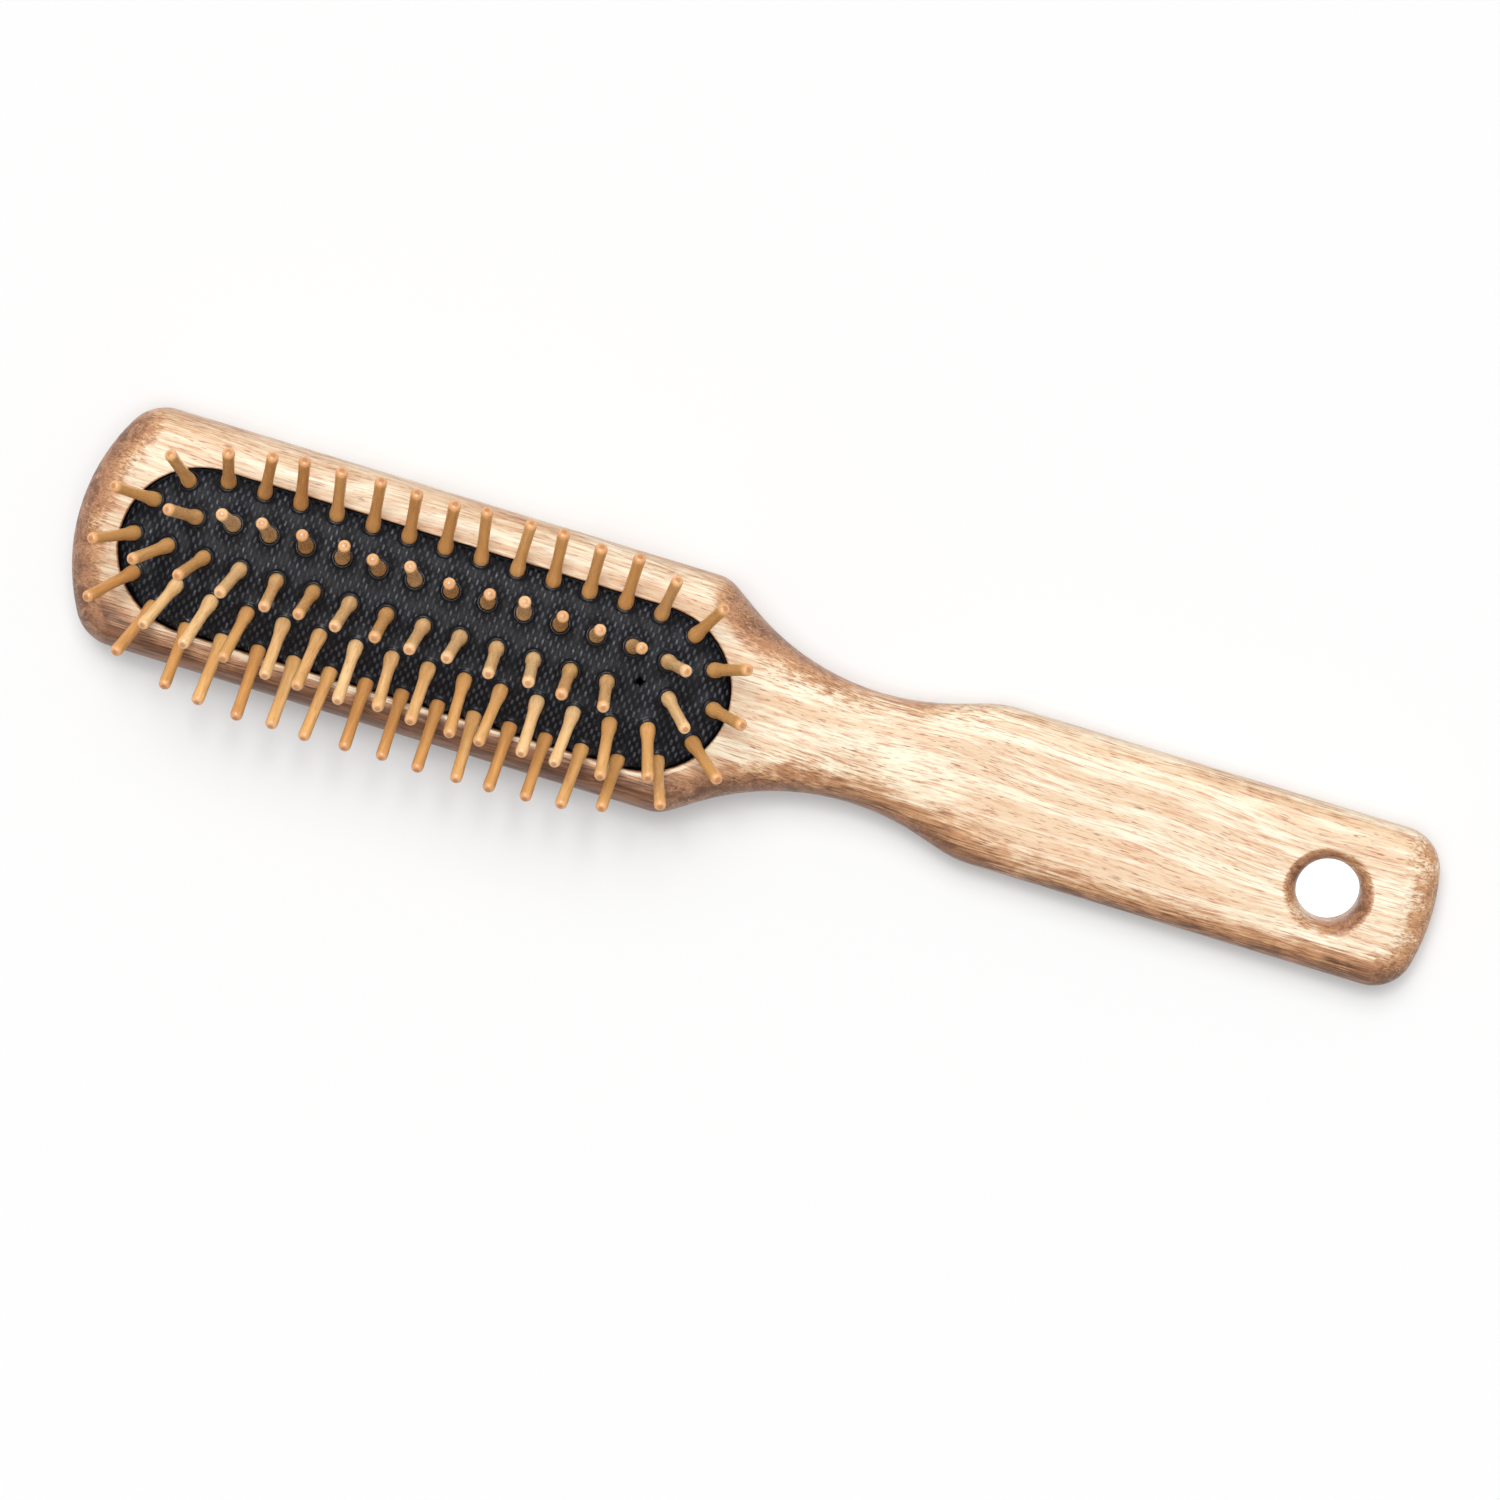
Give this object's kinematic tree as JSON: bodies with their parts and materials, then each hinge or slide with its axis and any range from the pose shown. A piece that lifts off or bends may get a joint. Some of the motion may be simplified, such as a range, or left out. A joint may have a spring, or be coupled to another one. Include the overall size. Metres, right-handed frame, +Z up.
{
  "type": "vanity hairbrush",
  "caption": "Slim wooden cushion hairbrush: flat beech body with a hanging hole, rubber air cushion and long wooden pins that press in and spring back.",
  "frame": {"origin": "under the middle of the brush, on its flat back", "axes": "+X from the toe of the head to the end of the handle, +Y to the left side, +Z up out of the cushion"},
  "size_m": [0.2198, 0.0435, 0.0309],
  "materials": {
    "beech": "waxed, satin, with darker rounded edges",
    "pin_wood": "polished, satin",
    "rubber": "matt black with a fine textile texture"
  },
  "bodies": {
    "brush_body": {"wood_body": "beech", "cushion": "rubber"},
    "left_ring_pin_01": {"left_ring_pin_01": "pin_wood"},
    "right_ring_pin_01": {"right_ring_pin_01": "pin_wood"},
    "left_ring_pin_02": {"left_ring_pin_02": "pin_wood"},
    "right_ring_pin_02": {"right_ring_pin_02": "pin_wood"},
    "left_ring_pin_03": {"left_ring_pin_03": "pin_wood"},
    "right_ring_pin_03": {"right_ring_pin_03": "pin_wood"},
    "left_ring_pin_04": {"left_ring_pin_04": "pin_wood"},
    "right_ring_pin_04": {"right_ring_pin_04": "pin_wood"},
    "left_ring_pin_05": {"left_ring_pin_05": "pin_wood"},
    "right_ring_pin_05": {"right_ring_pin_05": "pin_wood"},
    "left_ring_pin_06": {"left_ring_pin_06": "pin_wood"},
    "right_ring_pin_06": {"right_ring_pin_06": "pin_wood"},
    "left_ring_pin_07": {"left_ring_pin_07": "pin_wood"},
    "right_ring_pin_07": {"right_ring_pin_07": "pin_wood"},
    "left_ring_pin_08": {"left_ring_pin_08": "pin_wood"},
    "right_ring_pin_08": {"right_ring_pin_08": "pin_wood"},
    "left_ring_pin_09": {"left_ring_pin_09": "pin_wood"},
    "right_ring_pin_09": {"right_ring_pin_09": "pin_wood"},
    "left_ring_pin_10": {"left_ring_pin_10": "pin_wood"},
    "right_ring_pin_10": {"right_ring_pin_10": "pin_wood"},
    "left_ring_pin_11": {"left_ring_pin_11": "pin_wood"},
    "right_ring_pin_11": {"right_ring_pin_11": "pin_wood"},
    "left_ring_pin_12": {"left_ring_pin_12": "pin_wood"},
    "right_ring_pin_12": {"right_ring_pin_12": "pin_wood"},
    "left_ring_pin_13": {"left_ring_pin_13": "pin_wood"},
    "right_ring_pin_13": {"right_ring_pin_13": "pin_wood"},
    "toe_ring_pin_1": {"toe_ring_pin_1": "pin_wood"},
    "waist_ring_pin_1": {"waist_ring_pin_1": "pin_wood"},
    "toe_ring_pin_2": {"toe_ring_pin_2": "pin_wood"},
    "waist_ring_pin_2": {"waist_ring_pin_2": "pin_wood"},
    "toe_ring_pin_3": {"toe_ring_pin_3": "pin_wood"},
    "waist_ring_pin_3": {"waist_ring_pin_3": "pin_wood"},
    "toe_ring_pin_4": {"toe_ring_pin_4": "pin_wood"},
    "waist_ring_pin_4": {"waist_ring_pin_4": "pin_wood"},
    "toe_ring_pin_5": {"toe_ring_pin_5": "pin_wood"},
    "waist_ring_pin_5": {"waist_ring_pin_5": "pin_wood"},
    "left_row_pins_1": {"left_row_pins_1": "pin_wood"},
    "left_row_pins_2": {"left_row_pins_2": "pin_wood"},
    "left_row_pins_3": {"left_row_pins_3": "pin_wood"},
    "left_row_pins_4": {"left_row_pins_4": "pin_wood"},
    "left_row_pins_5": {"left_row_pins_5": "pin_wood"},
    "left_row_pins_6": {"left_row_pins_6": "pin_wood"},
    "left_row_pins_7": {"left_row_pins_7": "pin_wood"},
    "centre_row_pins_1": {"centre_row_pins_1": "pin_wood"},
    "centre_row_pins_2": {"centre_row_pins_2": "pin_wood"},
    "centre_row_pins_3": {"centre_row_pins_3": "pin_wood"},
    "centre_row_pins_4": {"centre_row_pins_4": "pin_wood"},
    "centre_row_pins_5": {"centre_row_pins_5": "pin_wood"},
    "centre_row_pins_6": {"centre_row_pins_6": "pin_wood"},
    "centre_row_pins_7": {"centre_row_pins_7": "pin_wood"},
    "right_row_pins_1": {"right_row_pins_1": "pin_wood"},
    "right_row_pins_2": {"right_row_pins_2": "pin_wood"},
    "right_row_pins_3": {"right_row_pins_3": "pin_wood"},
    "right_row_pins_4": {"right_row_pins_4": "pin_wood"},
    "right_row_pins_5": {"right_row_pins_5": "pin_wood"},
    "right_row_pins_6": {"right_row_pins_6": "pin_wood"},
    "right_row_pins_7": {"right_row_pins_7": "pin_wood"}
  },
  "joints": [
    {"name": "left_ring_pin_01_press", "type": "slide", "parent": "brush_body", "child": "left_ring_pin_01", "axis": [0.0218, -0.4668, -0.8841], "range_m": [0, 0.0025], "stiffness_N_per_m": 300},
    {"name": "right_ring_pin_01_press", "type": "slide", "parent": "brush_body", "child": "right_ring_pin_01", "axis": [-0.0047, 0.5625, -0.8268], "range_m": [0, 0.0025], "stiffness_N_per_m": 300},
    {"name": "left_ring_pin_02_press", "type": "slide", "parent": "brush_body", "child": "left_ring_pin_02", "axis": [-0.033, -0.5571, -0.8298], "range_m": [0, 0.0025], "stiffness_N_per_m": 300},
    {"name": "right_ring_pin_02_press", "type": "slide", "parent": "brush_body", "child": "right_ring_pin_02", "axis": [0.0214, 0.6437, -0.765], "range_m": [0, 0.0025], "stiffness_N_per_m": 300},
    {"name": "left_ring_pin_03_press", "type": "slide", "parent": "brush_body", "child": "left_ring_pin_03", "axis": [0.0361, -0.6198, -0.784], "range_m": [0, 0.0025], "stiffness_N_per_m": 300},
    {"name": "right_ring_pin_03_press", "type": "slide", "parent": "brush_body", "child": "right_ring_pin_03", "axis": [-0.0236, 0.6942, -0.7194], "range_m": [0, 0.0025], "stiffness_N_per_m": 300},
    {"name": "left_ring_pin_04_press", "type": "slide", "parent": "brush_body", "child": "left_ring_pin_04", "axis": [0.0307, -0.6206, -0.7835], "range_m": [0, 0.0025], "stiffness_N_per_m": 300},
    {"name": "right_ring_pin_04_press", "type": "slide", "parent": "brush_body", "child": "right_ring_pin_04", "axis": [-0.0047, 0.6656, -0.7463], "range_m": [0, 0.0025], "stiffness_N_per_m": 300},
    {"name": "left_ring_pin_05_press", "type": "slide", "parent": "brush_body", "child": "left_ring_pin_05", "axis": [0.0064, -0.6498, -0.7601], "range_m": [0, 0.0025], "stiffness_N_per_m": 300},
    {"name": "right_ring_pin_05_press", "type": "slide", "parent": "brush_body", "child": "right_ring_pin_05", "axis": [0.0291, 0.6906, -0.7227], "range_m": [0, 0.0025], "stiffness_N_per_m": 300},
    {"name": "left_ring_pin_06_press", "type": "slide", "parent": "brush_body", "child": "left_ring_pin_06", "axis": [0.0086, -0.6256, -0.7801], "range_m": [0, 0.0025], "stiffness_N_per_m": 300},
    {"name": "right_ring_pin_06_press", "type": "slide", "parent": "brush_body", "child": "right_ring_pin_06", "axis": [-0.0101, 0.6633, -0.7483], "range_m": [0, 0.0025], "stiffness_N_per_m": 300},
    {"name": "left_ring_pin_07_press", "type": "slide", "parent": "brush_body", "child": "left_ring_pin_07", "axis": [-0.0001, -0.6345, -0.7729], "range_m": [0, 0.0025], "stiffness_N_per_m": 300},
    {"name": "right_ring_pin_07_press", "type": "slide", "parent": "brush_body", "child": "right_ring_pin_07", "axis": [-0.0097, 0.6395, -0.7687], "range_m": [0, 0.0025], "stiffness_N_per_m": 300},
    {"name": "left_ring_pin_08_press", "type": "slide", "parent": "brush_body", "child": "left_ring_pin_08", "axis": [0.0504, -0.6636, -0.7464], "range_m": [0, 0.0025], "stiffness_N_per_m": 300},
    {"name": "right_ring_pin_08_press", "type": "slide", "parent": "brush_body", "child": "right_ring_pin_08", "axis": [-0.0097, 0.6546, -0.7559], "range_m": [0, 0.0025], "stiffness_N_per_m": 300},
    {"name": "left_ring_pin_09_press", "type": "slide", "parent": "brush_body", "child": "left_ring_pin_09", "axis": [-0.0268, -0.6778, -0.7348], "range_m": [0, 0.0025], "stiffness_N_per_m": 300},
    {"name": "right_ring_pin_09_press", "type": "slide", "parent": "brush_body", "child": "right_ring_pin_09", "axis": [-0.0381, 0.6206, -0.7832], "range_m": [0, 0.0025], "stiffness_N_per_m": 300},
    {"name": "left_ring_pin_10_press", "type": "slide", "parent": "brush_body", "child": "left_ring_pin_10", "axis": [0.0168, -0.6848, -0.7285], "range_m": [0, 0.0025], "stiffness_N_per_m": 300},
    {"name": "right_ring_pin_10_press", "type": "slide", "parent": "brush_body", "child": "right_ring_pin_10", "axis": [0.0029, 0.6203, -0.7843], "range_m": [0, 0.0025], "stiffness_N_per_m": 300},
    {"name": "left_ring_pin_11_press", "type": "slide", "parent": "brush_body", "child": "left_ring_pin_11", "axis": [-0.0117, -0.6515, -0.7586], "range_m": [0, 0.0025], "stiffness_N_per_m": 300},
    {"name": "right_ring_pin_11_press", "type": "slide", "parent": "brush_body", "child": "right_ring_pin_11", "axis": [0.015, 0.5917, -0.806], "range_m": [0, 0.0025], "stiffness_N_per_m": 300},
    {"name": "left_ring_pin_12_press", "type": "slide", "parent": "brush_body", "child": "left_ring_pin_12", "axis": [-0.0227, -0.6639, -0.7475], "range_m": [0, 0.0025], "stiffness_N_per_m": 300},
    {"name": "right_ring_pin_12_press", "type": "slide", "parent": "brush_body", "child": "right_ring_pin_12", "axis": [0.0232, 0.5422, -0.84], "range_m": [0, 0.0025], "stiffness_N_per_m": 300},
    {"name": "left_ring_pin_13_press", "type": "slide", "parent": "brush_body", "child": "left_ring_pin_13", "axis": [-0.0747, -0.5594, -0.8255], "range_m": [0, 0.0025], "stiffness_N_per_m": 300},
    {"name": "right_ring_pin_13_press", "type": "slide", "parent": "brush_body", "child": "right_ring_pin_13", "axis": [0.0039, 0.4354, -0.9003], "range_m": [0, 0.0025], "stiffness_N_per_m": 300},
    {"name": "toe_ring_pin_1_press", "type": "slide", "parent": "brush_body", "child": "toe_ring_pin_1", "axis": [0.1952, 0.4691, -0.8613], "range_m": [0, 0.0025], "stiffness_N_per_m": 300},
    {"name": "waist_ring_pin_1_press", "type": "slide", "parent": "brush_body", "child": "waist_ring_pin_1", "axis": [-0.1874, 0.3146, -0.9306], "range_m": [0, 0.0025], "stiffness_N_per_m": 300},
    {"name": "toe_ring_pin_2_press", "type": "slide", "parent": "brush_body", "child": "toe_ring_pin_2", "axis": [0.3532, 0.2712, -0.8954], "range_m": [0, 0.0025], "stiffness_N_per_m": 300},
    {"name": "waist_ring_pin_2_press", "type": "slide", "parent": "brush_body", "child": "waist_ring_pin_2", "axis": [-0.4002, 0.1705, -0.9004], "range_m": [0, 0.0025], "stiffness_N_per_m": 300},
    {"name": "toe_ring_pin_3_press", "type": "slide", "parent": "brush_body", "child": "toe_ring_pin_3", "axis": [0.3557, 0.0541, -0.933], "range_m": [0, 0.0025], "stiffness_N_per_m": 300},
    {"name": "waist_ring_pin_3_press", "type": "slide", "parent": "brush_body", "child": "waist_ring_pin_3", "axis": [-0.3768, -0.0773, -0.9231], "range_m": [0, 0.0025], "stiffness_N_per_m": 300},
    {"name": "toe_ring_pin_4_press", "type": "slide", "parent": "brush_body", "child": "toe_ring_pin_4", "axis": [0.3894, -0.1569, -0.9076], "range_m": [0, 0.0025], "stiffness_N_per_m": 300},
    {"name": "waist_ring_pin_4_press", "type": "slide", "parent": "brush_body", "child": "waist_ring_pin_4", "axis": [-0.375, -0.2712, -0.8865], "range_m": [0, 0.0025], "stiffness_N_per_m": 300},
    {"name": "toe_ring_pin_5_press", "type": "slide", "parent": "brush_body", "child": "toe_ring_pin_5", "axis": [0.214, -0.3731, -0.9028], "range_m": [0, 0.0025], "stiffness_N_per_m": 300},
    {"name": "waist_ring_pin_5_press", "type": "slide", "parent": "brush_body", "child": "waist_ring_pin_5", "axis": [-0.2338, -0.5242, -0.8189], "range_m": [0, 0.0025], "stiffness_N_per_m": 300},
    {"name": "left_row_pins_1_press", "type": "slide", "parent": "brush_body", "child": "left_row_pins_1", "axis": [0.1595, -0.1919, -0.9684], "range_m": [0, 0.0025], "stiffness_N_per_m": 600},
    {"name": "left_row_pins_2_press", "type": "slide", "parent": "brush_body", "child": "left_row_pins_2", "axis": [0.0251, -0.2717, -0.9621], "range_m": [0, 0.0025], "stiffness_N_per_m": 600},
    {"name": "left_row_pins_3_press", "type": "slide", "parent": "brush_body", "child": "left_row_pins_3", "axis": [-0.0102, -0.2735, -0.9618], "range_m": [0, 0.0025], "stiffness_N_per_m": 600},
    {"name": "left_row_pins_4_press", "type": "slide", "parent": "brush_body", "child": "left_row_pins_4", "axis": [0.0238, -0.27, -0.9626], "range_m": [0, 0.0025], "stiffness_N_per_m": 600},
    {"name": "left_row_pins_5_press", "type": "slide", "parent": "brush_body", "child": "left_row_pins_5", "axis": [-0.0305, -0.2744, -0.9611], "range_m": [0, 0.0025], "stiffness_N_per_m": 600},
    {"name": "left_row_pins_6_press", "type": "slide", "parent": "brush_body", "child": "left_row_pins_6", "axis": [-0.0382, -0.2484, -0.9679], "range_m": [0, 0.0025], "stiffness_N_per_m": 600},
    {"name": "left_row_pins_7_press", "type": "slide", "parent": "brush_body", "child": "left_row_pins_7", "axis": [-0.1896, -0.1392, -0.9719], "range_m": [0, 0.0025], "stiffness_N_per_m": 600},
    {"name": "centre_row_pins_1_press", "type": "slide", "parent": "brush_body", "child": "centre_row_pins_1", "axis": [0.2021, 0.1139, -0.9727], "range_m": [0, 0.0025], "stiffness_N_per_m": 600},
    {"name": "centre_row_pins_2_press", "type": "slide", "parent": "brush_body", "child": "centre_row_pins_2", "axis": [0.0217, 0.1458, -0.9891], "range_m": [0, 0.0025], "stiffness_N_per_m": 600},
    {"name": "centre_row_pins_3_press", "type": "slide", "parent": "brush_body", "child": "centre_row_pins_3", "axis": [0.0304, 0.1275, -0.9914], "range_m": [0, 0.0025], "stiffness_N_per_m": 600},
    {"name": "centre_row_pins_4_press", "type": "slide", "parent": "brush_body", "child": "centre_row_pins_4", "axis": [0.0159, 0.1229, -0.9923], "range_m": [0, 0.0025], "stiffness_N_per_m": 600},
    {"name": "centre_row_pins_5_press", "type": "slide", "parent": "brush_body", "child": "centre_row_pins_5", "axis": [0.001, 0.1212, -0.9926], "range_m": [0, 0.0025], "stiffness_N_per_m": 600},
    {"name": "centre_row_pins_6_press", "type": "slide", "parent": "brush_body", "child": "centre_row_pins_6", "axis": [-0.031, 0.1089, -0.9936], "range_m": [0, 0.0025], "stiffness_N_per_m": 600},
    {"name": "centre_row_pins_7_press", "type": "slide", "parent": "brush_body", "child": "centre_row_pins_7", "axis": [-0.1726, 0.1145, -0.9783], "range_m": [0, 0.0025], "stiffness_N_per_m": 600},
    {"name": "right_row_pins_1_press", "type": "slide", "parent": "brush_body", "child": "right_row_pins_1", "axis": [0.1319, 0.3847, -0.9136], "range_m": [0, 0.0025], "stiffness_N_per_m": 600},
    {"name": "right_row_pins_2_press", "type": "slide", "parent": "brush_body", "child": "right_row_pins_2", "axis": [0.0146, 0.4381, -0.8988], "range_m": [0, 0.0025], "stiffness_N_per_m": 600},
    {"name": "right_row_pins_3_press", "type": "slide", "parent": "brush_body", "child": "right_row_pins_3", "axis": [0.0027, 0.4956, -0.8685], "range_m": [0, 0.0025], "stiffness_N_per_m": 600},
    {"name": "right_row_pins_4_press", "type": "slide", "parent": "brush_body", "child": "right_row_pins_4", "axis": [-0.028, 0.4605, -0.8872], "range_m": [0, 0.0025], "stiffness_N_per_m": 600},
    {"name": "right_row_pins_5_press", "type": "slide", "parent": "brush_body", "child": "right_row_pins_5", "axis": [-0.0005, 0.4937, -0.8696], "range_m": [0, 0.0025], "stiffness_N_per_m": 600},
    {"name": "right_row_pins_6_press", "type": "slide", "parent": "brush_body", "child": "right_row_pins_6", "axis": [-0.0089, 0.4642, -0.8857], "range_m": [0, 0.0025], "stiffness_N_per_m": 600},
    {"name": "right_row_pins_7_press", "type": "slide", "parent": "brush_body", "child": "right_row_pins_7", "axis": [-0.1284, 0.4136, -0.9013], "range_m": [0, 0.0025], "stiffness_N_per_m": 600}
  ]
}
